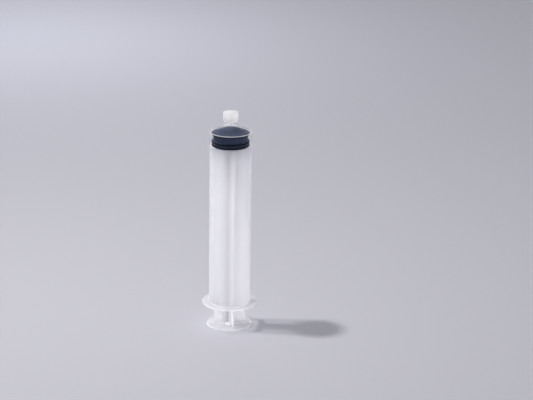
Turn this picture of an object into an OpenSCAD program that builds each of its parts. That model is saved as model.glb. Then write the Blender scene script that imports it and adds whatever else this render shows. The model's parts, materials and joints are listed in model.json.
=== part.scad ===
// Large disposable syringe with a plain centre nozzle and a push-on tip cap.
// The plunger is pressed fully home and the syringe stands on its thumb rest.
// Origin: centre of the thumb rest's underside. +Z runs up the axis to the nozzle.
// All sizes are in millimetres.

/* [Barrel] */
// Outside diameter of the barrel tube
barrel_d = 30; // [25:0.5:40]
// Wall thickness of the barrel tube
barrel_wall = 1.4; // [1:0.1:2]
// Length from the underside of the finger flange to the edge of the shoulder
barrel_length = 130.2; // [105:0.1:170]
// Wall thickness of the sloping shoulder
shoulder_wall = 1.5; // [1:0.1:2.5]
// Slope of the shoulder above the horizontal, in degrees
shoulder_angle = 21; // [12:1:30]
// Chamfer around the edge of the shoulder
shoulder_chamfer = 0.4; // [0.2:0.1:0.8]
// Height of the centre of the stop bead above the flange's underside
bead_inset = 13; // [6:0.5:20]
// How far the stop bead stands out of the bore
bead_lift = 0.3; // [0.1:0.05:0.4]
// Lead-in chamfer at the open end of the bore
mouth_chamfer = 0.6; // [0.2:0.1:0.7]

/* [Finger flange] */
// How far the round finger flange stands out from the tube
flange_overhang = 4.9; // [3:0.1:12]
// Thickness of the finger flange
flange_t = 1.5; // [1.2:0.1:3]
// Fillet between the flange and the tube
flange_fillet = 1; // [0.4:0.1:1.5]

/* [Nozzle] */
// Diameter of the boss at the root of the nozzle
boss_d = 8.6; // [8.2:0.1:12]
// Height of that boss above the shoulder
boss_height = 2; // [1:0.1:4]
// Diameter of the nozzle at its free end
nozzle_tip_d = 3.98; // [3.5:0.01:4.8]
// Length of the nozzle above the boss
nozzle_length = 6.2; // [5:0.1:9]
// Growth in diameter for each millimetre of length, towards the root
nozzle_taper = 0.06; // [0.02:0.01:0.1]
// Diameter of the channel through the nozzle
nozzle_bore_d = 2.6; // [1:0.1:2.8]

/* [Stopper] */
// Height of the stopper's straight side
stopper_height = 9.6; // [8.5:0.1:16]
// Radial clearance between the stopper's rings and the bore
ring_clearance = 0.05; // [0.02:0.01:0.1]
// Height of each sealing ring's land
ring_land = 0.9; // [0.5:0.1:1.2]
// Height of the slope on each side of a land
ring_slope = 0.5; // [0.3:0.1:0.7]
// Depth of the wide recess below the top ring
recess_depth = 1.2; // [0.5:0.1:1.6]
// Depth of the narrow groove between the two lower rings
groove_depth = 0.65; // [0.3:0.05:1]
// Width of that groove between the two lands
groove_width = 1.7; // [1.5:0.1:2.5]
// Gap between the stopper's nose and the inside of the shoulder
seat_gap = 0.3; // [0.1:0.05:1]
// Thickness of rubber over the rod's head
nose_wall = 2.6; // [1.5:0.1:4]

/* [Plunger rod] */
// How far the round thumb rest stands out from the edges of the webs
thumb_overhang = 4.4; // [1:0.1:8]
// Thickness of the thumb rest
thumb_t = 1.7; // [1.2:0.1:3.5]
// Gap between the thumb rest and the finger flange with the plunger home
press_gap = 15.5; // [8:0.1:30]
// Thickness of each web of the cross-shaped rod
web_t = 1.3; // [0.8:0.1:2.5]
// Gap between the edges of the webs and the bore
web_clearance = 1.7; // [0.8:0.1:3]
// Gap between the edge of the support disc and the bore
disc_clearance = 1; // [0.6:0.1:2]
// Thickness of the support disc under the stopper
disc_t = 1.5; // [1:0.1:3]
// Diameter of the neck that carries the rod's head
neck_d = 8; // [5:0.2:10]
// Height of the neck
neck_height = 2.8; // [2:0.1:3.2]
// Diameter of the rod's head
head_d = 13; // [11:0.2:14]
// Height of the straight side of the head
head_height = 1.8; // [1:0.1:2.4]
// Radial clearance of the neck and the head in the stopper
head_clearance = 0.08; // [0.02:0.01:0.1]
// End play of the rod in the stopper
head_play = 0.15; // [0.05:0.05:0.4]

/* [Tip cap] */
// How far the cap's straight side stands out beyond the boss
cap_overhang = 1.15; // [0.4:0.05:3]
// Height of the tapered lower end, which starts as wide as the boss
cap_taper_height = 2; // [1:0.1:3]
// Thickness of the closed top
cap_top_t = 1.2; // [0.8:0.1:2.5]
// Chamfer around the top
cap_chamfer = 0.3; // [0.1:0.1:0.6]
// Wall thickness of the inner sleeve that grips the nozzle
sleeve_wall = 0.75; // [0.5:0.05:1]
// Wall thickness of the lower skirt
skirt_wall = 0.7; // [0.5:0.05:0.8]
// How far the groove around the sleeve runs above the tapered lower end
sleeve_groove = 2.2; // [0.5:0.1:3]
// Radial clearance of the nozzle in the sleeve
sleeve_clearance = 0.03; // [0.01:0.01:0.1]
// Gap between the cap and the boss, and over the end of the nozzle
cap_gap = 0.35; // [0.1:0.05:1]
// Number of grip flutes around the cap
flute_count = 12; // [6:1:16]
// Radius of each flute
flute_r = 0.9; // [0.5:0.1:1]
// Depth of each flute
flute_depth = 0.35; // [0.1:0.05:0.5]

/* [Hidden] */
$fn = 96;
// Small overlap that lets a cut pass cleanly through a face
through = 1;

// Radii that follow from the diameters
barrel_r = barrel_d / 2;
bore_r = barrel_r - barrel_wall;
boss_r = boss_d / 2;
flange_r = barrel_r + flange_overhang;
ring_r = bore_r - ring_clearance;
web_r = bore_r - web_clearance;
thumb_r = web_r + thumb_overhang;
disc_r = bore_r - disc_clearance;
head_r = head_d / 2;
neck_r = neck_d / 2;
cap_r = boss_r + cap_overhang;
nozzle_tip_r = nozzle_tip_d / 2;
nozzle_bore_r = nozzle_bore_d / 2;
nozzle_root_r = nozzle_radius(0);

// Heights of the barrel's faces above the thumb rest's underside
flange_z = thumb_t + press_gap;
shoulder_z = flange_z + barrel_length;
boss_z = outer_shoulder(boss_r);
nozzle_z = boss_z + boss_height;
nozzle_top_z = nozzle_z + nozzle_length;
bead_z = flange_z + bead_inset;

// Heights of the stopper's and the rod's faces
nose_r = boss_r;
nose_z = nose(ring_r);
nose_top_z = nose(nose_r);
stopper_z = nose_z - stopper_height;
disc_top_z = stopper_z - head_play;
disc_z = disc_top_z - disc_t;
head_z = disc_top_z + neck_height;
head_shoulder_z = head_z + head_height;

// Heights and radii of the cap
cap_z = nozzle_z + cap_gap;
socket_top_z = nozzle_top_z + cap_gap;
cap_top_z = socket_top_z + cap_top_t;
skirt_r = boss_r - skirt_wall;
sleeve_r = nozzle_root_r + sleeve_clearance + sleeve_wall;

// Height of the shoulder's outside and inside face at radius r
function outer_shoulder(r) = shoulder_z + (barrel_r - r) * tan(shoulder_angle);
function inner_shoulder(r) = outer_shoulder(r) - shoulder_wall / cos(shoulder_angle);
// Height of the stopper's nose at radius r, one seat gap below the shoulder
function nose(r) = inner_shoulder(r) - seat_gap;
// Radius of the nozzle at a height h above its root
function nozzle_radius(h) = nozzle_tip_r + (nozzle_length - h) * nozzle_taper / 2;

// Half section of a round disc with a full-round edge, its underside at z = 0
module disc_section(r, t) {
    square([r - t / 2, t]);
    translate([r - t / 2, t / 2]) circle(r = t / 2);
}

// Half section of a concave fillet around a tube of radius r, standing on z = 0
module fillet_section(r, size) {
    difference() {
        square([r + size, size]);
        translate([r + size, size]) circle(r = size);
    }
}

// Outline of the tube, the shoulder, the boss and the nozzle, as if they were solid
module barrel_outline() {
    chamfer_top_r = barrel_r - shoulder_chamfer;
    polygon([
        [0, flange_z],
        [barrel_r, flange_z],
        [barrel_r, shoulder_z - shoulder_chamfer],
        [chamfer_top_r, outer_shoulder(chamfer_top_r)],
        [boss_r, boss_z],
        [boss_r, nozzle_z],
        [nozzle_root_r, nozzle_z],
        [nozzle_tip_r, nozzle_top_z],
        [0, nozzle_top_z],
    ]);
}

// Outline of the bore, the inside of the shoulder and the channel through the nozzle
module hollow_outline() {
    polygon([
        [0, flange_z - through],
        [bore_r + mouth_chamfer, flange_z - through],
        [bore_r + mouth_chamfer, flange_z],
        [bore_r, flange_z + mouth_chamfer],
        [bore_r, inner_shoulder(bore_r)],
        [nozzle_bore_r, inner_shoulder(nozzle_bore_r)],
        [nozzle_bore_r, nozzle_top_z + through],
        [0, nozzle_top_z + through],
    ]);
}

// Section of the low ring inside the open end that keeps the stopper in the barrel
module bead_section() {
    translate([bore_r - bead_lift + barrel_wall / 2, bead_z])
        circle(r = barrel_wall / 2);
}

module barrel() {
    color([0.87, 0.88, 0.92, 0.55])
        rotate_extrude() {
            difference() {
                union() {
                    barrel_outline();
                    translate([0, flange_z]) disc_section(flange_r, flange_t);
                    translate([0, flange_z + flange_t]) fillet_section(barrel_r, flange_fillet);
                }
                hollow_outline();
            }
            bead_section();
        }
}

// Outline of the rubber stopper, from its lower edge up to the flat top of its nose
module stopper_outline() {
    recess_r = ring_r - recess_depth;
    groove_r = ring_r - groove_depth;
    low_land_z = stopper_z + ring_slope;
    low_top_z = low_land_z + ring_land;
    mid_land_z = low_top_z + groove_width;
    mid_top_z = mid_land_z + ring_land;
    top_land_z = nose_z - ring_land;
    polygon([
        [0, stopper_z],
        [groove_r, stopper_z],
        [ring_r, low_land_z],
        [ring_r, low_top_z],
        [groove_r, low_top_z + ring_slope],
        [groove_r, mid_land_z - ring_slope],
        [ring_r, mid_land_z],
        [ring_r, mid_top_z],
        [recess_r, mid_top_z + ring_slope],
        [recess_r, top_land_z - ring_slope],
        [ring_r, top_land_z],
        [ring_r, nose_z],
        [nose_r, nose_top_z],
        [0, nose_top_z],
    ]);
}

// Outline of the rod's head and neck, grown by a gap to make its hollow in the rubber
module head_outline(side_gap, end_gap) {
    side_r = head_r + side_gap;
    side_top_z = head_shoulder_z + end_gap;
    tip_r = neck_r;
    highest_tip_z = nose_top_z - nose_wall - head_play;
    tip_z = min(side_top_z + side_r - tip_r, highest_tip_z + end_gap);
    polygon([
        [0, disc_top_z],
        [neck_r + side_gap, disc_top_z],
        [neck_r + side_gap, head_z - end_gap],
        [side_r, head_z - end_gap],
        [side_r, side_top_z],
        [tip_r, tip_z],
        [0, tip_z],
    ]);
}

module stopper() {
    color([0.09, 0.11, 0.17])
        difference() {
            rotate_extrude() stopper_outline();
            rotate_extrude() head_outline(head_clearance, head_play);
        }
}

// Two crossed webs, one along X and one along Y
module webs() {
    for (turn = [0, 90])
        rotate([0, 0, turn])
            translate([-web_r, -web_t / 2, thumb_t / 2])
            cube([2 * web_r, web_t, disc_z - thumb_t / 2 + disc_t / 2]);
}

module plunger_rod() {
    color([0.9, 0.9, 0.93, 0.6]) {
        webs();
        rotate_extrude() {
            disc_section(thumb_r, thumb_t);
            translate([0, disc_z]) disc_section(disc_r, disc_t);
            head_outline(0, 0);
        }
    }
}

// Outline of the cap: a tapered lower end, a straight side and a chamfered top
module cap_outline() {
    polygon([
        [0, cap_z],
        [boss_r, cap_z],
        [cap_r, cap_z + cap_taper_height],
        [cap_r, cap_top_z - cap_chamfer],
        [cap_r - cap_chamfer, cap_top_z],
        [0, cap_top_z],
    ]);
}

// Grip flutes around the cap, from the tapered end up through the top
module cap_flutes() {
    for (i = [0 : flute_count - 1])
        rotate([0, 0, (i + 0.5) * 360 / flute_count])
            translate([cap_r + flute_r - flute_depth, 0, cap_z - through])
            cylinder(h = cap_top_z - cap_z + 2 * through, r = flute_r);
}

// Outline of the tapered socket for the nozzle
module socket_outline() {
    mouth_r = nozzle_radius(cap_gap) + sleeve_clearance;
    end_r = mouth_r - (socket_top_z - cap_z) * nozzle_taper / 2;
    polygon([
        [0, cap_z - through],
        [mouth_r, cap_z - through],
        [mouth_r, cap_z],
        [end_r, socket_top_z],
        [0, socket_top_z],
    ]);
}

// Outline of the groove that parts the socket's sleeve from the cap's skirt
module groove_outline() {
    translate([sleeve_r, cap_z - through])
        square([skirt_r - sleeve_r, cap_taper_height + sleeve_groove + through]);
}

module tip_cap() {
    color([0.91, 0.91, 0.93])
        difference() {
            rotate_extrude()
                difference() {
                    cap_outline();
                    socket_outline();
                    groove_outline();
                }
            cap_flutes();
        }
}

plunger_rod();
stopper();
barrel();
tip_cap();
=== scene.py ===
import json
import math

import bmesh
import bpy
from bpy.props import FloatProperty, FloatVectorProperty, IntProperty, PointerProperty
from bpy.types import Operator, Panel, PropertyGroup
from mathutils import Matrix, Vector


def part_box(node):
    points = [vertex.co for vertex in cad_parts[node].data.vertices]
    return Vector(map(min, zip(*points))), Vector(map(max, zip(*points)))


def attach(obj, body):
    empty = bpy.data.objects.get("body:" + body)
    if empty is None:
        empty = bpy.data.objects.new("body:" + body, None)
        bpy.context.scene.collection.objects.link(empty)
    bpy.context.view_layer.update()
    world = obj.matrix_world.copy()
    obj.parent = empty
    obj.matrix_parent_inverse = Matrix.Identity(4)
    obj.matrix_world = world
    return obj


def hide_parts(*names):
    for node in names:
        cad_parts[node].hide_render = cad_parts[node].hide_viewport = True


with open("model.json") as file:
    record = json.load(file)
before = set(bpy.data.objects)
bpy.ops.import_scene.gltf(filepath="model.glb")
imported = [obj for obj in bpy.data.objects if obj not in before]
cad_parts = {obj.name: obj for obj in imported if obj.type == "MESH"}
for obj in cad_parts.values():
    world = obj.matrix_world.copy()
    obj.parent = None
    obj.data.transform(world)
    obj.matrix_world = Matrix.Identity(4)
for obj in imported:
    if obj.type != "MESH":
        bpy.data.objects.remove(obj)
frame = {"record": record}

bl_info = {
    "name": "Disposable syringe",
    "version": (1, 0, 0),
    "blender": (4, 5, 0),
    "location": "3D View > Sidebar > Syringe",
    "description": "Makes the looks of a large disposable syringe around its packed frame",
    "category": "Add Mesh",
}

SEGMENTS = 192                    # faces around every turned piece
ARC_STEP = 15.0                   # degrees of a rounded corner that one short side covers
ON_AXIS = 1e-7                    # a point nearer to the axis than this is a pole
STRAIGHT = math.radians(179.0)    # a corner that is wider than this isn't rounded
CORNER_SHARE = 0.49               # most of a side that one rounded corner takes up
RIM_SHARE = 2.01                  # a rim's thickness over this rounds it all the way
SHARP_ANGLE = math.radians(32.0)  # edges that turn more than this are shaded sharp
FAR = 1.0                         # a height or radius that no piece reaches, in metres

# Roundings of small moulded corners, in metres
TINY, SMALL, MEDIUM, WIDE = 0.0002, 0.0003, 0.0004, 0.0006

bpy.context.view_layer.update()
MOUNTS = {mount["name"]: mount for mount in frame["record"]["mounts"]}
TUBE_R = MOUNTS["barrel_tube"]["dims"]["r_mm"] / 1000
FLANGE_TOP = MOUNTS["flange_upper_face"]["pos_m"][2]


# ---------------------------------------------------------------- sizes and colours

def length(name, description, default):
    """A length property in metres."""
    return FloatProperty(name=name, description=description, default=default,
                         precision=5, unit="LENGTH")


def colour(name, description, default):
    """A colour property without alpha."""
    return FloatVectorProperty(name=name, description=description, default=default,
                               size=3, min=0.0, max=1.0, subtype="COLOR")


def factor(name, description, default):
    """A plain number from 0 to 1."""
    return FloatProperty(name=name, description=description, default=default,
                         min=0.0, max=1.0, subtype="FACTOR")


def degrees(name, description, default):
    """An angle property, given here in degrees."""
    return FloatProperty(name=name, description=description,
                         default=math.radians(default), unit="ROTATION")


class BarrelSizes(PropertyGroup):
    wall: length("Wall", "Thickness of the tube's wall", 0.0014)
    shoulder_wall: length("Shoulder wall", "Thickness of the sloping shoulder", 0.0015)
    shoulder_angle: degrees("Shoulder slope", "Slope of the shoulder above level", 21)
    flange: length("Flange", "Thickness of the finger flange", 0.0015)
    flange_fillet: length("Flange fillet", "Fillet between flange and tube", 0.001)
    edge_round: length("Edge rounding", "Rounding of the shoulder's edge", 0.00045)
    boss_r: length("Boss radius", "Radius of the boss under the nozzle", 0.0043)
    boss_height: length("Boss height", "Height of the boss above the shoulder", 0.002)
    nozzle_tip_r: length("Nozzle radius", "Radius of the nozzle's free end", 0.00199)
    nozzle: length("Nozzle length", "Length of the nozzle above its boss", 0.0062)
    taper: FloatProperty(name="Nozzle taper", default=0.06,
                         description="Growth in diameter per length")
    channel_r: length("Channel radius", "Radius of the channel in the nozzle", 0.0013)
    bead_inset: length("Bead inset", "Height of the stop bead above the open end", 0.013)
    bead_lift: length("Bead lift", "How far the stop bead stands out of the bore", 0.0003)
    mouth: length("Mouth chamfer", "Lead-in at the open end of the bore", 0.0006)


class StopperSizes(PropertyGroup):
    land: length("Land", "Height of each sealing ring's land", 0.0009)
    slope: length("Slope", "Height of the slope on each side of a land", 0.0005)
    recess: length("Recess", "Depth of the wide recess", 0.0012)
    groove: length("Groove", "Depth of the narrow groove", 0.00065)
    groove_width: length("Groove width", "Width of the narrow groove", 0.0017)
    height: length("Side height", "Height of the straight side", 0.0096)
    nose_r: length("Nose radius", "Radius of the nose's flat top", 0.0043)
    head_gap: length("Head gap", "Radial gap around the rod's head", 0.00008)
    head_play: length("Head play", "End play of the rod's head", 0.00015)


class RodSizes(PropertyGroup):
    thumb: length("Thumb rest", "Thickness of the thumb rest", 0.0017)
    web: length("Web", "Thickness of each web", 0.0013)
    web_clearance: length("Web clearance", "Gap between a web's edge and the bore", 0.0017)
    web_round: length("Web rounding", "Rounding of each web's outer edge", 0.0003)
    webs: IntProperty(name="Webs", description="Number of webs around the axis", default=4)
    disc: length("Disc", "Thickness of the support disc", 0.0015)
    disc_clearance: length("Disc clearance", "Gap between the disc and the bore", 0.001)
    neck_r: length("Neck radius", "Radius of the neck under the head", 0.004)
    neck: length("Neck height", "Height of the neck", 0.0028)
    head_r: length("Head radius", "Radius of the head in the stopper", 0.0065)
    head: length("Head side", "Height of the head's straight side", 0.0018)


class CapSizes(PropertyGroup):
    overhang: length("Overhang", "How far the side stands out beyond the boss", 0.00115)
    lower: length("Lower end", "Height of the tapered lower end", 0.002)
    skirt: length("Skirt", "Wall thickness of the lower skirt", 0.0007)
    sleeve: length("Sleeve", "Wall thickness of the inner sleeve", 0.00075)
    sleeve_gap: length("Sleeve gap", "Radial gap around the nozzle", 0.00003)
    groove: length("Groove", "Height of the groove above the lower end", 0.0022)
    gap: length("Gap", "Gap over the nozzle's free end", 0.00035)
    flutes: IntProperty(name="Flutes", description="Grip flutes around the cap", default=12)
    flute_depth: length("Flute depth", "Depth of each grip flute", 0.0005)


class Finishes(PropertyGroup):
    plastic: colour("Plastic", "Colour of the milky plastic", (0.945, 0.945, 0.95))
    rod: colour("Rod", "Colour of the plunger rod", (0.92, 0.92, 0.93))
    barrel_haze: factor("Barrel haze", "Milkiness of the barrel seen square on", 0.36)
    barrel_edge: factor("Barrel edge haze", "Milkiness added at the barrel's edges", 0.2)
    rod_haze: factor("Rod haze", "Milkiness of the rod seen square on", 0.3)
    rod_edge: factor("Rod edge haze", "Milkiness added at the rod's edges", 0.5)
    cap: colour("Cap", "Colour of the tip cap", (0.93, 0.93, 0.93))
    cap_haze: factor("Cap haze", "Milkiness of the cap seen square on", 0.62)
    cap_edge: factor("Cap edge haze", "Milkiness added at the cap's edges", 0.3)
    rubber: colour("Rubber", "Colour of the stopper", (0.038, 0.053, 0.093))
    floor: colour("Floor", "Colour of the floor", (0.585, 0.588, 0.632))


class StageSettings(PropertyGroup):
    lens: FloatProperty(name="Lens", description="Focal length in millimetres", default=131.7)
    distance: length("Distance", "From the camera to the point it looks at", 1.4059)
    azimuth: degrees("Azimuth", "Camera's turn about the axis, 0 looks along +Y", -17)
    elevation: degrees("Elevation", "Camera's height above level", 17.5)
    roll: degrees("Roll", "Camera's roll about its line of sight", 0.75)
    aim_side: length("Aim side", "How far right of the axis the camera looks", 0.0262)
    aim_height: length("Aim height", "Height of the point the camera looks at", 0.096)
    key_power: FloatProperty(name="Key power", description="Power of the key light in watts",
                             default=2.45)
    back_power: FloatProperty(name="Back power", description="Power of the back light in watts",
                              default=0.4)
    ambient: FloatProperty(name="Ambient", description="Strength of the light from overhead",
                           default=0.29)
    horizon: FloatProperty(name="Horizon", default=7.0,
                           description="How many times stronger the light from the side is")


GROUPS = {
    "syringe_barrel": BarrelSizes,
    "syringe_stopper": StopperSizes,
    "syringe_rod": RodSizes,
    "syringe_cap": CapSizes,
    "syringe_finishes": Finishes,
    "syringe_stage": StageSettings,
}


# ---------------------------------------------------------------- shader helpers

MIX_COLOUR_INPUTS = slice(6, 8)   # a Mix node's two colours, among its inputs for other data
MIX_COLOUR_OUTPUT = 2


class Value:
    """A shader socket that carries a number, used in Python arithmetic."""

    def __init__(self, shader, socket):
        self.shader = shader
        self.socket = socket

    def maths(self, operation, first, second=None):
        """A Math node on one value or two."""
        values = [first] if second is None else [first, second]
        return self.shader.node("ShaderNodeMath", {"operation": operation}, values)

    def __add__(self, other):
        return self.maths("ADD", self, other)

    def __radd__(self, other):
        return self.maths("ADD", other, self)

    def __sub__(self, other):
        return self.maths("SUBTRACT", self, other)

    def __rsub__(self, other):
        return self.maths("SUBTRACT", other, self)

    def __mul__(self, other):
        return self.maths("MULTIPLY", self, other)

    def __rmul__(self, other):
        return self.maths("MULTIPLY", other, self)

    def __pow__(self, other):
        return self.maths("POWER", self, other)

    def __abs__(self):
        return self.maths("ABSOLUTE", self)


class Shader:
    """A new material and its node tree."""

    def __init__(self, name):
        self.material = bpy.data.materials.new(name)
        self.material.use_nodes = True
        self.tree = self.material.node_tree
        self.tree.nodes.clear()
        self.where = self.node("ShaderNodeTexCoord", output="Object")

    def node(self, kind, settings=None, inputs=None, output=0):
        """Adds a node. Settings are set first, then the inputs by name or by number."""
        made = self.tree.nodes.new(kind)
        for key, value in (settings or {}).items():
            setattr(made, key, value)
        items = inputs.items() if isinstance(inputs, dict) else enumerate(inputs or [])
        for key, value in items:
            if isinstance(value, Value):
                self.tree.links.new(value.socket, made.inputs[key])
            else:
                made.inputs[key].default_value = value
        return Value(self, made.outputs[output])

    def noise(self, scale, detail=2.0, stretch=(1.0, 1.0, 1.0)):
        """Noise from 0 to 1 at a scale in cells per metre, stretched along the axes."""
        place = self.node("ShaderNodeMapping", inputs={"Vector": self.where, "Scale": stretch})
        return self.node("ShaderNodeTexNoise", inputs={
            "Vector": place, "Scale": scale, "Detail": detail}, output="Fac")

    def level(self):
        """Height along the Z axis, in metres."""
        return self.node("ShaderNodeSeparateXYZ", inputs=[self.where], output="Z")

    def rise(self, value, start, end):
        """A number that goes from 0 to 1 as a value goes from a start to an end."""
        return self.node("ShaderNodeMapRange", {"clamp": True}, {
            "Value": value, "From Min": start, "From Max": end})

    def beyond(self, radius, width):
        """A number that rises from 0 to 1 over a width, outside a radius about the Z axis."""
        flat = self.node("ShaderNodeVectorMath", {"operation": "MULTIPLY"},
                         [self.where, (1.0, 1.0, 0.0)])
        far = self.node("ShaderNodeVectorMath", {"operation": "LENGTH"}, [flat], output="Value")
        return self.rise(far - radius, 0.0, width)

    def above(self, height, width):
        """A number that rises from 0 to 1 over a width, above a height."""
        return self.rise(self.level(), height, height + width)

    def band(self, height, half):
        """A number that is 1 at a height and falls to 0 at half a band's width from it."""
        return self.rise(abs(self.level() - height), half, 0.0)

    def mix_colours(self, share, first, second):
        """A colour between two, by a share from 0 to 1."""
        made = self.node("ShaderNodeMix", {"data_type": "RGBA"}, {"Factor": share},
                         output=MIX_COLOUR_OUTPUT)
        for socket, value in zip(made.socket.node.inputs[MIX_COLOUR_INPUTS], (first, second)):
            if isinstance(value, Value):
                self.tree.links.new(value.socket, socket)
            else:
                socket.default_value = (*value, 1.0)
        return made

    def bump(self, height, strength, distance):
        """A bumped normal from a height."""
        return self.node("ShaderNodeBump", inputs={
            "Height": height, "Strength": strength, "Distance": distance}, output="Normal")

    def mix(self, share, first, second):
        """A Mix Shader."""
        return self.node("ShaderNodeMixShader", inputs=[share, first, second])

    def finish(self, surface):
        """Joins a surface to the output and gives the material."""
        out = self.tree.nodes.new("ShaderNodeOutputMaterial")
        self.tree.links.new(surface.socket, out.inputs["Surface"])
        return self.material


# ---------------------------------------------------------------- materials

# Milky plastic: noise scales in cells per metre, sizes in metres
PLASTIC_CLOUD = 90.0              # scale of its cloudiness
PLASTIC_GRAIN = 700.0             # scale of its skin's grain
DRAWN_OUT = (1.0, 1.0, 0.35)      # its cloudiness is longer along the axis
CLOUDINESS = 0.04                 # how much the haze varies from place to place
CLEAR_TINT = (0.985, 0.985, 0.99, 1.0)
SOFT = 0.0003                     # width over which one zone passes into the next
CREST_BELOW = 0.0005              # middle of the painted highlight line, below the window's top
CREST_HALF = 0.0006               # half the painted highlight line's width
CREST_DEPTH = 0.0006              # how far it reaches in from the tube's outside
CREST_PAINTED_HIGHLIGHT = 0.85                 # whiteness of the painted highlight line, added as haze
CORE_WIDTH = 0.0015               # width over which the thick middle passes into the rest
CORE_HAZE = 0.5                   # milkiness that the thick middle adds
RIM_WIDTH = 0.0004                # width over which the rim's painted highlight rises
RIM_PAINTED_HIGHLIGHT = 0.25                   # whiteness of the painted highlight on a rim, added as haze
TOP_CUT = 0.4                     # share of the haze taken away above the window, as painted shade
TOP_EDGE_CUT = 0.5                # share of the edge haze taken away there, as painted shade
FOOT_GLOW_CUT = 0.25              # light that is passed on less below the step
EDGE_FALL = 3.0                   # how fast the edge haze falls off from the edges
GLOSS_FALL = 5.0                  # how fast the gloss falls off from the edges
GLOSS_FACE = 0.003                # share of gloss seen square on
GLOSS_EDGE = 0.08                 # share of gloss that the edges add
SKIN_ROUGH, SKIN_ROUGH_SPREAD = 0.35, 0.1
GLOSS_ROUGH, GLOSS_ROUGH_SPREAD = 0.12, 0.06
PLASTIC_IOR = 1.49

# Rubber
RUBBER_CLOUD = 300.0              # scale of its mottling
RUBBER_GRAIN = 4000.0             # scale of its skin's grain
RUBBER_PAINTED_SHADE = 0.15                # painted shade on the pressed rings, as a share of its colour
RUBBER_LIGHT = 1.4                # its lightest mottling, as a share of its colour
RUBBER_ROUGH, RUBBER_ROUGH_SPREAD = 0.45, 0.12
PRESSED_DEPTH = 0.0004            # how far in from the bore the rings get painted shade and less roughness
PRESSED_WIDTH = 0.0002            # width over which that painted shade and smoothing begin
PRESSED_POLISH = 0.1              # how much smoother the pressed rubber is
RUBBER_IOR = 1.35

# Floor
FLOOR_CLOUD = 1.5                 # scale of its unevenness
FLOOR_SHADE = 0.985               # its darkest tone, as a share of its colour
FLOOR_ROUGH = 0.7
FLOOR_IOR = 1.3


def clear_plastic(name, tint, haze, edge_haze, forward, shade, rim=FAR, step=0.0, foot=1.0,
                  window=(FAR, FAR), inside=1.0, core=-FAR):
    """Moulded plastic that is part clear and part milky, and lets lamps shine through.

    Haze is its milkiness seen square on, edge haze what its edges add, forward the share
    of milky light that is passed on, and shade the share of lamp light that goes through.
    Beyond the radius called rim it gets a painted highlight, added as whiter haze. Below
    the height called step the haze is multiplied by foot. Inside is what the haze is
    multiplied by between the two heights of the window; below 1 it clears the wall there
    as painted shade, and above the window the haze is thinned as painted shade too. A
    painted highlight line, added as haze, runs round the tube just under the window's
    top. Within the radius called core, where it is thickest, it is milkier."""
    s = Shader(name)
    cloud = s.noise(PLASTIC_CLOUD, detail=3.0, stretch=DRAWN_OUT)
    normal = s.bump(s.noise(PLASTIC_GRAIN), strength=0.01, distance=0.00005)
    facing = s.node("ShaderNodeLayerWeight", inputs={"Blend": 0.5}, output="Facing")

    over = s.above(window[1], width=0.0004)
    within = s.above(window[0], width=SOFT) - over
    upper = s.above(step, width=SOFT)
    thick = 1.0 - s.beyond(core, width=CORE_WIDTH)
    outermost = s.beyond(TUBE_R - CREST_DEPTH, width=SOFT)
    # Painted highlight: a whiter line round the tube's outside, just under the window's top
    highlight_line = s.band(window[1] - CREST_BELOW, half=CREST_HALF) * outermost * CREST_PAINTED_HIGHLIGHT

    square = (upper * (1.0 - foot) + foot) * haze + cloud * CLOUDINESS - CLOUDINESS / 2
    # Haze is scaled by inside over the window and cut above it; on the barrel this is painted shade
    # over the dark stopper
    square = square * (within * (inside - 1.0) - over * TOP_CUT + 1.0)
    edge = facing ** EDGE_FALL * edge_haze * (1.0 - over * TOP_EDGE_CUT)
    # Painted highlight: whiter haze beyond the rim radius, along the outer edges
    edge = edge + s.beyond(rim, width=RIM_WIDTH) * RIM_PAINTED_HIGHLIGHT
    share = square + edge + thick * CORE_HAZE + highlight_line
    passed = upper * FOOT_GLOW_CUT + (forward - FOOT_GLOW_CUT) - highlight_line

    clear = s.node("ShaderNodeBsdfTransparent", inputs={"Color": CLEAR_TINT})
    skin = s.node("ShaderNodeBsdfPrincipled", inputs={
        "Base Color": (*tint, 1.0), "Roughness": cloud * SKIN_ROUGH_SPREAD + SKIN_ROUGH,
        "IOR": PLASTIC_IOR, "Specular IOR Level": 0.3, "Normal": normal})
    glow = s.node("ShaderNodeBsdfTranslucent", inputs={"Color": (*tint, 1.0)})
    body = s.mix(share, clear, s.mix(passed, skin, glow))
    gloss = s.node("ShaderNodeBsdfGlossy", inputs={
        "Color": (1.0, 1.0, 1.0, 1.0), "Roughness": cloud * GLOSS_ROUGH_SPREAD + GLOSS_ROUGH})
    seen = s.mix(facing ** GLOSS_FALL * GLOSS_EDGE + GLOSS_FACE, body, gloss)
    lamp = s.node("ShaderNodeLightPath", output="Is Shadow Ray")
    through = s.node("ShaderNodeBsdfTransparent", inputs={"Color": (shade, shade, shade, 1.0)})
    return s.finish(s.mix(lamp, seen, through))


def stopper_rubber(name, tint, ring):
    """Blue-black moulded rubber, with painted shade on the rings that press against the bore, which
    are also smoother.

    Ring is the radius of the sealing rings."""
    s = Shader(name)
    cloud = s.noise(RUBBER_CLOUD, detail=3.0)
    # Painted shade: the rings that press against the bore are darkened, and also made smoother
    pressed_and_shaded = s.beyond(ring - PRESSED_DEPTH, width=PRESSED_WIDTH)
    darker = tuple(RUBBER_PAINTED_SHADE * c for c in tint)
    lighter = tuple(RUBBER_LIGHT * c for c in tint)
    plain = s.mix_colours(cloud, tint, lighter)
    roughness = cloud * RUBBER_ROUGH_SPREAD + RUBBER_ROUGH - pressed_and_shaded * PRESSED_POLISH
    return s.finish(s.node("ShaderNodeBsdfPrincipled", inputs={
        "Base Color": s.mix_colours(pressed_and_shaded, plain, darker), "Roughness": roughness,
        "IOR": RUBBER_IOR,
        "Normal": s.bump(s.noise(RUBBER_GRAIN), strength=0.1, distance=0.0001)}))


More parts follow.
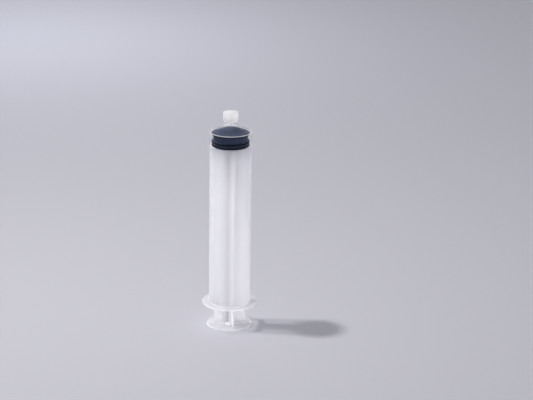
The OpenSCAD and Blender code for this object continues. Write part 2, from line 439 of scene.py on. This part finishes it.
def floor_paint(name, tint):
    """Plain pale studio floor, slightly uneven in tone."""
    s = Shader(name)
    shade = tuple(FLOOR_SHADE * c for c in tint)
    return s.finish(s.node("ShaderNodeBsdfPrincipled", inputs={
        "Base Color": s.mix_colours(s.noise(FLOOR_CLOUD), shade, tint),
        "Roughness": FLOOR_ROUGH, "IOR": FLOOR_IOR}))


# ---------------------------------------------------------------- mesh helpers

def rounded(corners):
    """Outline through (radius, height, rounding) corners, each rounded by an arc."""
    points = []
    count = len(corners)
    for i, (x, z, fillet) in enumerate(corners):
        here = Vector((x, z))
        before = Vector(corners[i - 1][:2]) - here
        after = Vector(corners[(i + 1) % count][:2]) - here
        angle = before.angle(after)
        if fillet <= 0 or angle > STRAIGHT:
            points.append(here)
            continue
        most = min(before.length * CORNER_SHARE, after.length * CORNER_SHARE)
        reach = min(fillet / math.tan(angle / 2), most)
        radius = reach * math.tan(angle / 2)
        bisector = (before.normalized() + after.normalized()).normalized()
        centre = here + bisector * (radius / math.sin(angle / 2))
        start = here + before.normalized() * reach - centre
        end = here + after.normalized() * reach - centre
        turn = start.angle_signed(end)
        steps = max(2, math.ceil(abs(math.degrees(turn)) / ARC_STEP))
        for step in range(steps + 1):
            part = turn * step / steps
            points.append(centre + Matrix.Rotation(-part, 2) @ start)
    return points


def turned(name, outlines, segments=SEGMENTS):
    """Mesh turned about the Z axis from closed outlines of (radius, height) points."""
    shape = bmesh.new()
    for outline in outlines:
        rings = []
        for x, z in outline:
            if x < ON_AXIS:
                rings.append([shape.verts.new((0.0, 0.0, z))])
                continue
            rings.append([shape.verts.new((x * math.cos(a), x * math.sin(a), z))
                          for a in (math.tau * i / segments for i in range(segments))])
        for low, high in zip(rings, rings[1:] + rings[:1]):
            if len(low) == 1 and len(high) == 1:
                continue
            for i in range(segments):
                j = (i + 1) % segments
                corners = [low[i % len(low)], low[j % len(low)],
                           high[j % len(high)], high[i % len(high)]]
                shape.faces.new(dict.fromkeys(corners))
    bmesh.ops.recalc_face_normals(shape, faces=shape.faces)
    mesh = bpy.data.meshes.new(name)
    shape.to_mesh(mesh)
    shape.free()
    return mesh


def place(name, mesh, material):
    """An object in the scene with one material."""
    mesh.materials.append(material)
    made = bpy.data.objects.new(name, mesh)
    bpy.context.scene.collection.objects.link(made)
    return made


def hand_over(piece, node, body):
    """Lets a finished piece stand for a CAD node and ride on its body."""
    piece.data.shade_smooth()
    piece.data.set_sharp_from_angle(angle=SHARP_ANGLE)
    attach(piece, body)
    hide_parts(node)


# ---------------------------------------------------------------- outlines

def shoulder_height(sizes, radius, inside=False):
    """Height of the shoulder's outside or inside face at a radius."""
    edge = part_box("barrel")[1].z - sizes.nozzle - sizes.boss_height
    slope = math.tan(sizes.shoulder_angle)
    wall = sizes.shoulder_wall / math.cos(sizes.shoulder_angle) if inside else 0.0
    return edge + (sizes.boss_r - radius) * slope - wall


def barrel_outline(sizes):
    """Closed section of the barrel's wall, from the open end round to the nozzle and back."""
    low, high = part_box("barrel")
    flange_r, flange_z, top_z = high.x, low.z, high.z
    bore = TUBE_R - sizes.wall
    nozzle_z = top_z - sizes.nozzle
    nozzle_r = sizes.nozzle_tip_r + sizes.nozzle * sizes.taper / 2
    flange_round = sizes.flange / RIM_SHARE
    channel_round = 0.00012
    bead_z = flange_z + sizes.bead_inset
    bead_half = 0.0009
    return rounded([
        (flange_r, flange_z, flange_round),
        (flange_r, FLANGE_TOP, flange_round),
        (TUBE_R, FLANGE_TOP, sizes.flange_fillet),
        (TUBE_R, shoulder_height(sizes, TUBE_R), sizes.edge_round),
        (sizes.boss_r, shoulder_height(sizes, sizes.boss_r), MEDIUM),
        (sizes.boss_r, nozzle_z, SMALL),
        (nozzle_r, nozzle_z, TINY),
        (sizes.nozzle_tip_r, top_z, SMALL),
        (sizes.channel_r, top_z, channel_round),
        (sizes.channel_r, shoulder_height(sizes, sizes.channel_r, inside=True), channel_round),
        (bore, shoulder_height(sizes, bore, inside=True), MEDIUM),
        (bore, bead_z + bead_half, WIDE),
        (bore - sizes.bead_lift, bead_z, WIDE),
        (bore, bead_z - bead_half, WIDE),
        (bore, flange_z + sizes.mouth, SMALL),
        (bore + sizes.mouth, flange_z, SMALL),
    ])


def head_corners(rod, side_gap, end_gap):
    """Corners of the rod's neck and head, grown by gaps, from the axis down to the disc."""
    tip_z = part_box("plunger_rod")[1].z
    side_z = tip_z - (rod.head_r - rod.neck_r)
    head_z = side_z - rod.head
    base_z = head_z - rod.neck
    return [
        (0.0, tip_z + end_gap, 0.0),
        (rod.neck_r, tip_z + end_gap, MEDIUM),
        (rod.head_r + side_gap, side_z + end_gap, MEDIUM),
        (rod.head_r + side_gap, head_z - end_gap, MEDIUM),
        (rod.neck_r + side_gap, head_z - end_gap, TINY),
        (rod.neck_r + side_gap, base_z, 0.0),
    ]


def stopper_outline(sizes, rod):
    """Closed section of the rubber stopper, with its hollow for the rod's head."""
    low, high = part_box("stopper")
    ring, base, top = high.x, low.z, high.z
    nose_z = base + sizes.height
    recess, groove = ring - sizes.recess, ring - sizes.groove
    low_land = base + sizes.slope
    low_top = low_land + sizes.land
    mid_land = low_top + sizes.groove_width
    mid_top = mid_land + sizes.land
    top_land = nose_z - sizes.land
    lip, root = SMALL, 0.0005
    hollow = head_corners(rod, sizes.head_gap, sizes.head_play)
    hollow[-1] = (hollow[-1][0], base, TINY)
    return rounded(hollow + [
        (groove, base, lip),
        (ring, low_land, lip),
        (ring, low_top, lip),
        (groove, low_top + sizes.slope, root),
        (groove, mid_land - sizes.slope, root),
        (ring, mid_land, lip),
        (ring, mid_top, lip),
        (recess, mid_top + sizes.slope, root),
        (recess, top_land - sizes.slope, root),
        (ring, top_land, lip),
        (ring, nose_z, lip),
        (sizes.nose_r, top, WIDE),
        (0.0, top, 0.0),
    ])


def rod_outlines(sizes, barrel):
    """Closed sections of the rod's thumb rest, and of its support disc with the head."""
    low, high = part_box("plunger_rod")
    bore = TUBE_R - barrel.wall
    disc_r = bore - sizes.disc_clearance
    head = head_corners(sizes, 0.0, 0.0)
    base_z = head[-1][1]
    thumb_round = sizes.thumb / RIM_SHARE
    disc_round = sizes.disc / RIM_SHARE
    thumb = [(0.0, low.z, 0.0), (high.x, low.z, thumb_round),
             (high.x, low.z + sizes.thumb, thumb_round), (0.0, low.z + sizes.thumb, 0.0)]
    disc = [(disc_r, base_z, disc_round), (disc_r, base_z - sizes.disc, disc_round),
            (0.0, base_z - sizes.disc, 0.0)]
    return [rounded(thumb), rounded(head[:-1] + [(sizes.neck_r, base_z, SMALL)] + disc)]


def cap_outline(sizes, barrel):
    """Closed section of the tip cap, with its socket and the groove around the sleeve."""
    low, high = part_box("tip_cap")
    side = barrel.boss_r + sizes.overhang
    nozzle_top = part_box("barrel")[1].z
    root = barrel.nozzle_tip_r + barrel.nozzle * barrel.taper / 2
    mouth = root + sizes.sleeve_gap
    end_z = nozzle_top + sizes.gap
    end = mouth - (end_z - low.z) * barrel.taper / 2
    sleeve = mouth + sizes.sleeve
    skirt = barrel.boss_r - sizes.skirt
    groove_z = low.z + sizes.lower + sizes.groove
    fine = 0.00015
    return rounded([
        (0.0, end_z, 0.0),
        (end, end_z, fine),
        (mouth, low.z, fine),
        (sleeve, low.z, fine),
        (sleeve, groove_z, fine),
        (skirt, groove_z, fine),
        (skirt, low.z, fine),
        (barrel.boss_r, low.z, fine),
        (side, low.z + sizes.lower, MEDIUM),
        (side, high.z, MEDIUM),
        (0.0, high.z, 0.0),
    ])


# ---------------------------------------------------------------- node groups

FLUTE_SHAPE = 1.3    # over 1, it narrows the flutes and widens the ribs between them
FILLET_COUNT = 4     # sides on each of a web's rounded corners
WELD = 1e-6          # points nearer to each other than this are merged, in metres


class Geometry:
    """A geometry node tree that is being built."""

    def __init__(self, name, inputs):
        self.tree = bpy.data.node_groups.new(name, "GeometryNodeTree")
        sockets = [("Geometry", "INPUT", "NodeSocketGeometry")]
        sockets += [(label, "INPUT", kind) for label, kind in inputs.items()]
        sockets += [("Geometry", "OUTPUT", "NodeSocketGeometry")]
        for label, direction, kind in sockets:
            self.tree.interface.new_socket(label, in_out=direction, socket_type=kind)
        self.given = self.tree.nodes.new("NodeGroupInput").outputs

    def node(self, kind, settings=None, inputs=None, output=0):
        """Adds a node and gives one of its outputs."""
        made = self.tree.nodes.new(kind)
        for key, value in (settings or {}).items():
            setattr(made, key, value)
        items = inputs.items() if isinstance(inputs, dict) else enumerate(inputs or [])
        for key, value in items:
            if isinstance(value, bpy.types.NodeSocket):
                self.tree.links.new(value, made.inputs[key])
            else:
                made.inputs[key].default_value = value
        return made.outputs[output]

    def maths(self, operation, *values):
        """A Math node."""
        return self.node("ShaderNodeMath", {"operation": operation}, values)

    def finish(self, geometry, material):
        """Realizes the instances, sets the material and ends the tree."""
        real = self.node("GeometryNodeRealizeInstances", inputs=[geometry])
        done = self.node("GeometryNodeSetMaterial", inputs={"Geometry": real, "Material": material})
        out = self.tree.nodes.new("NodeGroupOutput")
        self.tree.links.new(done, out.inputs[0])
        return self.tree


def grow(piece, tree, values):
    """Runs a geometry node tree on an object and keeps the result as its plain mesh.

    Values are given by the names of the tree's inputs."""
    modifier = piece.modifiers.new(tree.name, "NODES")
    modifier.node_group = tree
    for item in tree.interface.items_tree:
        if item.in_out == "INPUT" and item.name in values:
            modifier[item.identifier] = values[item.name]
    graph = bpy.context.evaluated_depsgraph_get()
    result = bpy.data.meshes.new_from_object(piece.evaluated_get(graph), depsgraph=graph)
    piece.modifiers.remove(modifier)
    piece.data = result


def flutes_tree(material):
    """Presses grip flutes into the side of a turned cap.

    A flute is deepest at the radius called side and dies away at the inner side."""
    g = Geometry("Grip flutes", {
        "Flutes": "NodeSocketInt", "Depth": "NodeSocketFloat", "Side": "NodeSocketFloat",
        "Inner side": "NodeSocketFloat"})
    place_now = g.node("GeometryNodeInputPosition")
    x, y = (g.node("ShaderNodeSeparateXYZ", inputs=[place_now], output=i) for i in range(2))
    flat = g.node("ShaderNodeCombineXYZ", inputs=[x, y, 0.0])
    radius = g.node("ShaderNodeVectorMath", {"operation": "LENGTH"}, [flat], output="Value")
    turn = g.maths("MULTIPLY", g.maths("ARCTAN2", y, x), g.given["Flutes"])
    wave = g.maths("ABSOLUTE", g.maths("COSINE", g.maths("DIVIDE", turn, 2.0)))
    hollow = g.maths("POWER", g.maths("SUBTRACT", 1.0, wave), FLUTE_SHAPE)
    share = g.node("ShaderNodeMapRange", {"clamp": True}, [
        radius, g.given["Inner side"], g.given["Side"], 0.0, 1.0])
    dip = g.maths("MULTIPLY", g.maths("MULTIPLY", hollow, g.given["Depth"]), share)
    inward = g.node("ShaderNodeVectorMath", {"operation": "NORMALIZE"}, [flat])
    push = g.node("ShaderNodeVectorMath", {"operation": "SCALE"})
    g.tree.links.new(inward, push.node.inputs[0])
    g.tree.links.new(g.maths("MULTIPLY", dip, -1.0), push.node.inputs["Scale"])
    moved = g.node("GeometryNodeSetPosition", inputs={
        "Geometry": g.given["Geometry"], "Offset": push})
    return g.finish(moved, material)


def webs_tree(material):
    """Joins webs, spaced evenly about the axis, to the rod's turned ends."""
    g = Geometry("Crossed webs", {
        "Webs": "NodeSocketInt", "Thickness": "NodeSocketFloat", "Reach": "NodeSocketFloat",
        "Rounding": "NodeSocketFloat", "Low": "NodeSocketFloat", "High": "NodeSocketFloat"})
    outline = g.node("GeometryNodeCurvePrimitiveQuadrilateral", inputs={
        "Width": g.given["Reach"], "Height": g.given["Thickness"]})
    soft = g.node("GeometryNodeFilletCurve", {"mode": "POLY"}, {
        "Curve": outline, "Radius": g.given["Rounding"], "Count": FILLET_COUNT})
    flat = g.node("GeometryNodeFillCurve", inputs=[soft])
    tall = g.maths("SUBTRACT", g.given["High"], g.given["Low"])
    web = g.node("GeometryNodeExtrudeMesh", inputs={"Mesh": flat, "Offset Scale": tall})
    closed = g.node("GeometryNodeJoinGeometry")
    back = g.node("GeometryNodeFlipFaces", inputs=[flat])
    for part in (web, back):
        g.tree.links.new(part, closed.node.inputs[0])
    whole = g.node("GeometryNodeMergeByDistance", inputs={"Geometry": closed, "Distance": WELD})
    half = g.maths("DIVIDE", g.given["Reach"], 2.0)
    start = g.node("ShaderNodeCombineXYZ", inputs=[half, 0.0, g.given["Low"]])
    one = g.node("GeometryNodeTransform", inputs={"Geometry": whole, "Translation": start})
    line = g.node("GeometryNodeMeshLine", inputs={
        "Count": g.given["Webs"], "Offset": (0.0, 0.0, 0.0)})
    order = g.node("GeometryNodeInputIndex")
    share = g.maths("DIVIDE", math.tau, g.given["Webs"])
    turn = g.node("ShaderNodeCombineXYZ", inputs=[0.0, 0.0, g.maths("MULTIPLY", order, share)])
    spread = g.node("GeometryNodeInstanceOnPoints", inputs={
        "Points": line, "Instance": one, "Rotation": turn})
    joined = g.node("GeometryNodeMeshBoolean", {"operation": "UNION", "solver": "EXACT"})
    boolean = joined.node
    boolean.inputs["Self Intersection"].default_value = True
    for part in (g.node("GeometryNodeRealizeInstances", inputs=[spread]), g.given["Geometry"]):
        g.tree.links.new(part, boolean.inputs["Mesh 2"])
    return g.finish(joined, material)


# ---------------------------------------------------------------- operators

class SYRINGE_OT_barrel(Operator):
    """Make the barrel with its flange, shoulder and nozzle"""

    bl_idname = "syringe.barrel"
    bl_label = "Barrel"

    def execute(self, context):
        scene = context.scene
        finish = scene.syringe_finishes
        corner = shoulder_height(scene.syringe_barrel, TUBE_R)
        # The flange's outer edge gets a painted highlight, this far in from its rim
        rim_depth = 0.0008
        flange_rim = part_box("barrel")[1].x - rim_depth
        # inside=0.1 clears the wall over the stopper: painted shade standing in for the light
        # missing behind it
        material = clear_plastic(
            "barrel_plastic", tuple(finish.plastic), finish.barrel_haze, finish.barrel_edge,
            forward=0.99, shade=0.89, rim=flange_rim, step=FLANGE_TOP + SOFT, foot=1.7,
            window=(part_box("stopper")[0].z, corner), inside=0.1)
        mesh = turned("barrel_shell", [barrel_outline(scene.syringe_barrel)])
        hand_over(place("barrel_shell", mesh, material), "barrel", "barrel")
        return {"FINISHED"}


class SYRINGE_OT_stopper(Operator):
    """Make the rubber stopper"""

    bl_idname = "syringe.stopper"
    bl_label = "Stopper"

    def execute(self, context):
        scene = context.scene
        tint = tuple(scene.syringe_finishes.rubber)
        material = stopper_rubber("stopper_rubber", tint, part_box("stopper")[1].x)
        mesh = turned("rubber_stopper", [stopper_outline(scene.syringe_stopper, scene.syringe_rod)])
        hand_over(place("rubber_stopper", mesh, material), "stopper", "stopper")
        return {"FINISHED"}


class SYRINGE_OT_plunger_rod(Operator):
    """Make the plunger rod with its thumb rest, webs, disc and head"""

    bl_idname = "syringe.plunger_rod"
    bl_label = "Plunger rod"

    def execute(self, context):
        scene = context.scene
        rod, finish = scene.syringe_rod, scene.syringe_finishes
        low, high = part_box("plunger_rod")
        disc_z = high.z - (rod.head_r - rod.neck_r) - rod.head - rod.neck - rod.disc
        reach = TUBE_R - scene.syringe_barrel.wall - rod.web_clearance
        # The thumb rest's edge gets a painted highlight, rim_depth in from its rim
        rim_depth, disc_margin = 0.0007, 0.0001
        material = clear_plastic(
            "rod_plastic", tuple(finish.rod), finish.rod_haze, finish.rod_edge,
            forward=0.3, shade=0.96, rim=high.x - rim_depth, step=low.z + rod.thumb, foot=0.45,
            window=(disc_z - disc_margin, FAR), inside=2.4, core=0.002)
        mesh = turned("webbed_rod", rod_outlines(rod, scene.syringe_barrel))
        piece = place("webbed_rod", mesh, material)
        grow(piece, webs_tree(material), {
            "Webs": rod.webs,
            "Thickness": rod.web,
            "Reach": reach,
            "Rounding": rod.web_round,
            "Low": low.z + rod.thumb / 2,
            "High": disc_z + rod.disc / 2,
        })
        hand_over(piece, "plunger_rod", "plunger_rod")
        return {"FINISHED"}


class SYRINGE_OT_tip_cap(Operator):
    """Make the fluted tip cap"""

    bl_idname = "syringe.tip_cap"
    bl_label = "Tip cap"

    def execute(self, context):
        scene = context.scene
        sizes, barrel = scene.syringe_cap, scene.syringe_barrel
        finish = scene.syringe_finishes
        material = clear_plastic(
            "cap_plastic", tuple(finish.cap), finish.cap_haze, finish.cap_edge,
            forward=0.6, shade=0.6)
        mesh = turned("fluted_cap", [cap_outline(sizes, barrel)], SEGMENTS * 2)
        piece = place("fluted_cap", mesh, material)
        grow(piece, flutes_tree(material), {
            "Flutes": sizes.flutes,
            "Depth": sizes.flute_depth,
            "Side": barrel.boss_r + sizes.overhang,
            "Inner side": barrel.boss_r + sizes.overhang / 2,
        })
        hand_over(piece, "tip_cap", "cap")
        return {"FINISHED"}


# Places on the stage are metres to the camera's right, ahead of it and up, from the foot
KEY_PLACE = (-0.308, 0.033, 0.82)
KEY_SIZE = 0.045
KEY_TINT = (1.0, 0.98, 0.96)
BACK_PLACE = (-0.3, 0.95, 0.6)
BACK_AIM = (-0.25, 0.95, 0.0)
BACK_SIZE = 0.35
BACK_TINT = (0.9, 0.93, 1.0)
BACK_SPREAD = math.radians(100.0)
SKY_TINT = (0.925, 0.92, 0.95, 1.0)
SKY_LOW, SKY_HIGH = -0.3, 0.8     # the side's light fades between these, 1 being overhead
FLOOR_HALF = 8.0                  # half the floor's width
FLOOR_GAP = 0.0001                # keeps the floor's face off the thumb rest's
CLIP_END = 50.0                   # how far the camera sees


class SYRINGE_OT_stage(Operator):
    """Make the floor, the lights and the camera"""

    bl_idname = "syringe.stage"
    bl_label = "Stage"

    def execute(self, context):
        scene = context.scene
        stage = scene.syringe_stage
        right = Vector((math.cos(stage.azimuth), math.sin(stage.azimuth), 0.0))
        ahead = Vector((-math.sin(stage.azimuth), math.cos(stage.azimuth), 0.0))
        up = Vector((0.0, 0.0, 1.0))
        self.make_floor(scene)
        self.make_camera(scene, stage, right, ahead, up)
        self.make_lamps(scene, stage, right, ahead, up)
        self.make_sky(scene, stage)
        scene.view_settings.view_transform = "Standard"
        scene.view_settings.look = "High Contrast"
        return {"FINISHED"}

    def make_floor(self, scene):
        """One plain square just under the thumb rest."""
        mesh = bpy.data.meshes.new("studio_floor")
        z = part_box("plunger_rod")[0].z - FLOOR_GAP
        corners = [(FLOOR_HALF * x, FLOOR_HALF * y, z)
                   for x, y in ((-1, -1), (1, -1), (1, 1), (-1, 1))]
        mesh.from_pydata(corners, [], [(0, 1, 2, 3)])
        tint = tuple(scene.syringe_finishes.floor)
        place("studio_floor", mesh, floor_paint("floor_paint", tint))

    def make_camera(self, scene, stage, right, ahead, up):
        """The camera, at its distance from the point that it looks at."""
        data = bpy.data.cameras.new("camera")
        data.lens = stage.lens
        data.clip_end = CLIP_END
        camera = bpy.data.objects.new("camera", data)
        scene.collection.objects.link(camera)
        aim = right * stage.aim_side + up * stage.aim_height
        back = up * math.sin(stage.elevation) - ahead * math.cos(stage.elevation)
        camera.location = aim + back * stage.distance
        facing = back.to_track_quat("Z", "Y").to_matrix() @ Matrix.Rotation(stage.roll, 3, "Z")
        camera.rotation_euler = facing.to_euler()
        scene.camera = camera

    def make_lamps(self, scene, stage, right, ahead, up):
        """The key lamp on the syringe's middle, and the lamp that brightens the floor behind."""
        def spot(place_at):
            return right * place_at[0] + ahead * place_at[1] + up * place_at[2]

        middle = up * (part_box("barrel")[1].z / 2)
        self.make_lamp(scene, "key", spot(KEY_PLACE), middle, KEY_SIZE, stage.key_power,
                       KEY_TINT)
        lamp = self.make_lamp(scene, "back", spot(BACK_PLACE), spot(BACK_AIM), BACK_SIZE,
                              stage.back_power, BACK_TINT)
        lamp.data.spread = BACK_SPREAD

    def make_sky(self, scene, stage):
        """Soft light from all round, strongest from the side."""
        world = bpy.data.worlds.new("studio")
        world.use_nodes = True
        tree = world.node_tree
        background = tree.nodes["Background"]
        background.inputs["Color"].default_value = SKY_TINT
        where = tree.nodes.new("ShaderNodeTexCoord")
        parts = tree.nodes.new("ShaderNodeSeparateXYZ")
        tree.links.new(where.outputs["Generated"], parts.inputs[0])
        rise = tree.nodes.new("ShaderNodeMapRange")
        rise.interpolation_type = "SMOOTHERSTEP"
        tree.links.new(parts.outputs["Z"], rise.inputs["Value"])
        levels = {"From Min": SKY_LOW, "From Max": SKY_HIGH,
                  "To Min": stage.ambient * stage.horizon, "To Max": stage.ambient}
        for key, value in levels.items():
            rise.inputs[key].default_value = value
        tree.links.new(rise.outputs["Result"], background.inputs["Strength"])
        scene.world = world

    def make_lamp(self, scene, name, place_at, aim, size, power, tint):
        """A square lamp that faces the point it is aimed at."""
        data = bpy.data.lights.new(name, "AREA")
        data.size = size
        data.energy = power
        data.color = tint
        lamp = bpy.data.objects.new(name, data)
        scene.collection.objects.link(lamp)
        lamp.location = place_at
        lamp.rotation_euler = (place_at - aim).to_track_quat("Z", "Y").to_euler()
        return lamp


class SYRINGE_PT_panel(Panel):
    """Panel with every step"""

    bl_idname = "SYRINGE_PT_panel"
    bl_label = "Syringe"
    bl_space_type = "VIEW_3D"
    bl_region_type = "UI"
    bl_category = "Syringe"

    def draw(self, context):
        for operator in OPERATORS:
            self.layout.operator(operator.bl_idname)
        for name, group in GROUPS.items():
            box = self.layout.box()
            box.label(text=group.__name__)
            for key in group.__annotations__:
                box.prop(getattr(context.scene, name), key)


OPERATORS = [SYRINGE_OT_stage, SYRINGE_OT_barrel, SYRINGE_OT_stopper,
             SYRINGE_OT_plunger_rod, SYRINGE_OT_tip_cap]


def register():
    """Registers every class, and the settings on the scene."""
    for group in (*GROUPS.values(), *OPERATORS, SYRINGE_PT_panel):
        bpy.utils.register_class(group)
    for name, group in GROUPS.items():
        setattr(bpy.types.Scene, name, PointerProperty(type=group))


def unregister():
    """Undoes what register did, in the opposite order."""
    for name in GROUPS:
        delattr(bpy.types.Scene, name)
    for group in (SYRINGE_PT_panel, *reversed(OPERATORS), *reversed(GROUPS.values())):
        bpy.utils.unregister_class(group)


def main():
    """Makes the stage and every piece."""
    register()
    bpy.ops.syringe.stage()
    bpy.ops.syringe.barrel()
    bpy.ops.syringe.stopper()
    bpy.ops.syringe.plunger_rod()
    bpy.ops.syringe.tip_cap()


if __name__ == "__main__":
    main()
